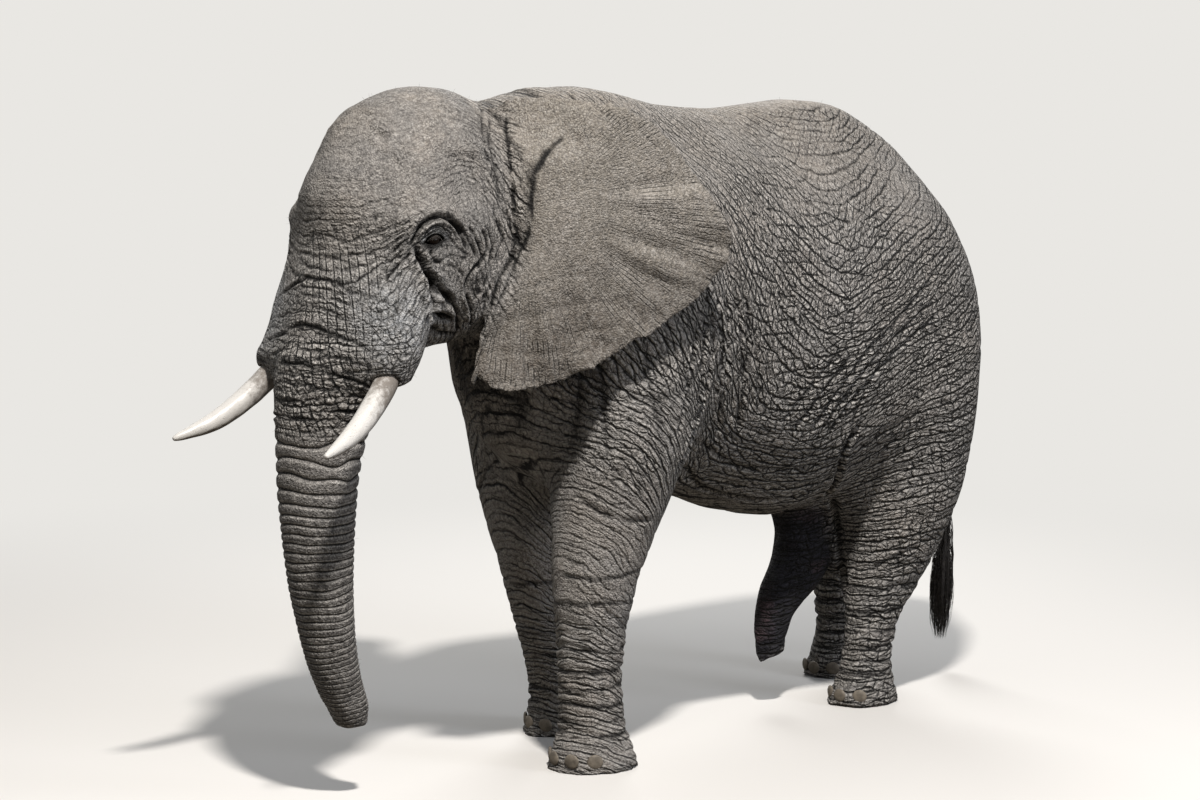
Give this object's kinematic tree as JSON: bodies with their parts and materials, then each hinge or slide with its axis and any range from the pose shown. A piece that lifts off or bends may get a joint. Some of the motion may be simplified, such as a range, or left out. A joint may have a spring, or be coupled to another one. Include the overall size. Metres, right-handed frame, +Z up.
{
  "type": "elephant",
  "caption": "Adult bull African bush elephant standing in mid stride, head level, trunk hanging and ears laid back, as a life-size museum figure.",
  "frame": {"origin": "on the floor under the middle of the animal's bounding box", "axes": "+X to the animal's left, +Y towards its tail, +Z up"},
  "size_m": [1.7244, 4.7806, 2.9652],
  "materials": {
    "skin": "dry, deeply wrinkled grey-brown hide dusted with pale soil",
    "ear_skin": "thin dry brown-grey hide with fine radiating wrinkles",
    "dark_skin": "smoother slate-dark hide",
    "ivory": "smooth worn ivory, stained brown near the lip",
    "toenail": "dull grey-tan horn",
    "tail_hair": "coarse wiry black hair",
    "eyeball": "wet dark brown eye"
  },
  "bodies": {
    "root": {"eye_left": "eyeball", "tusk_left": "ivory", "ear_left": "ear_skin", "eye_right": "eyeball", "tusk_right": "ivory", "ear_right": "ear_skin", "head": "skin", "neck": "skin", "trunk_upper": "skin", "trunk_middle": "skin", "trunk_lower": "skin", "genital_sheath": "dark_skin", "leg_front_left": "skin", "nail_front_left_1": "toenail", "nail_front_left_2": "toenail", "nail_front_left_3": "toenail", "nail_front_left_4": "toenail", "foot_front_left": "skin", "leg_hind_left": "skin", "nail_hind_left_1": "toenail", "nail_hind_left_2": "toenail", "nail_hind_left_3": "toenail", "foot_hind_left": "skin", "leg_front_right": "skin", "nail_front_right_1": "toenail", "nail_front_right_2": "toenail", "nail_front_right_3": "toenail", "nail_front_right_4": "toenail", "foot_front_right": "skin", "leg_hind_right": "skin", "nail_hind_right_1": "toenail", "nail_hind_right_2": "toenail", "nail_hind_right_3": "toenail", "foot_hind_right": "skin", "torso": "skin", "tail": "skin", "tail_tuft": "tail_hair"}
  },
  "joints": []
}
